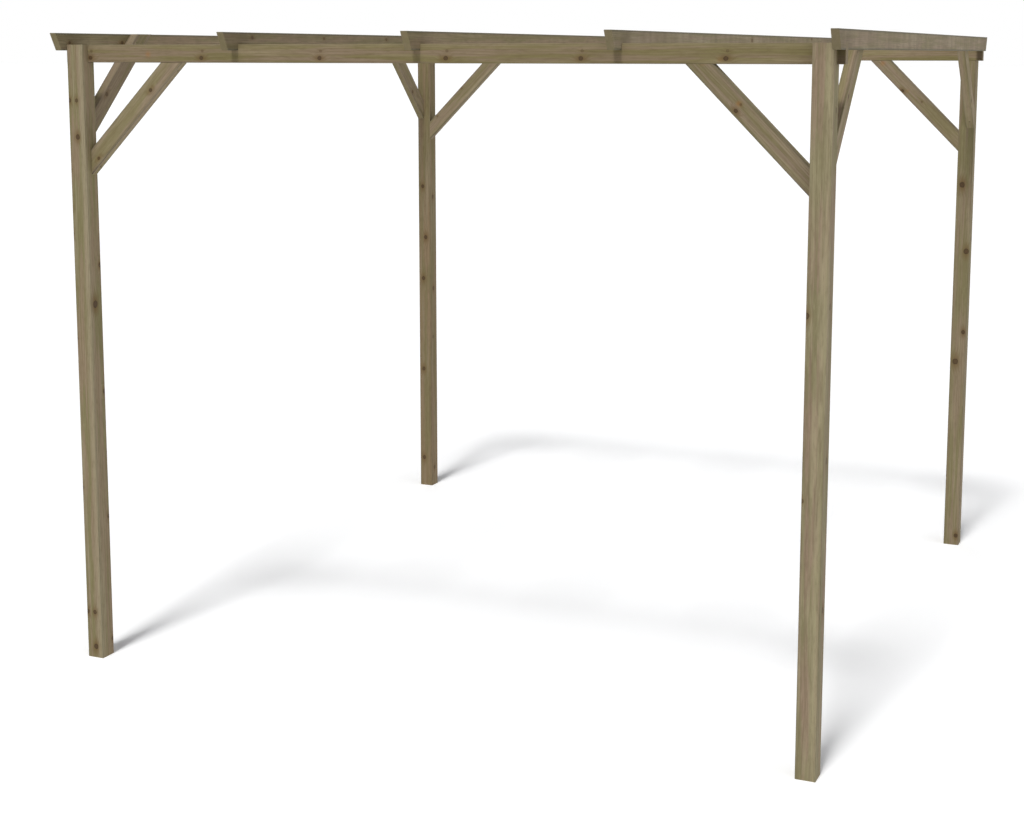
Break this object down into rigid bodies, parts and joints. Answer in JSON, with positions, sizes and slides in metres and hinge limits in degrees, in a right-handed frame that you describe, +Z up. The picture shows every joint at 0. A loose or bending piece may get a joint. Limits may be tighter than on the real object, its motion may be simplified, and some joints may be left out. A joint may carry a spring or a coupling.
{
  "type": "open timber carport frame",
  "caption": "Open timber carport frame: square posts with housed heads carry beams and notched rafters with splayed ends, stiffened by mitred knee braces at every corner.",
  "frame": {"origin": "centre of the frame at floor level, in the plane of the four post feet", "axes": "+X along the beams, to the right seen from the front; +Y along the rafters, from front to back; +Z up"},
  "size_m": [2.984, 3.136, 2.453],
  "materials": {
    "post_timber": "planed, pressure-treated, matt",
    "beam_timber": "planed, pressure-treated, matt",
    "rafter_timber": "planed, pressure-treated, matt",
    "brace_timber": "planed, pressure-treated, matt"
  },
  "bodies": {
    "root": {"post_front_left": "post_timber", "post_front_right": "post_timber", "post_back_left": "post_timber", "post_back_right": "post_timber", "beam_front": "beam_timber", "beam_back": "beam_timber", "rafter_1": "rafter_timber", "rafter_2": "rafter_timber", "rafter_3": "rafter_timber", "rafter_4": "rafter_timber", "rafter_5": "rafter_timber", "brace_front_left": "brace_timber", "brace_front_right": "brace_timber", "brace_back_left": "brace_timber", "brace_back_right": "brace_timber", "side_brace_front_left": "brace_timber", "side_brace_front_right": "brace_timber", "side_brace_back_left": "brace_timber", "side_brace_back_right": "brace_timber"}
  },
  "joints": []
}
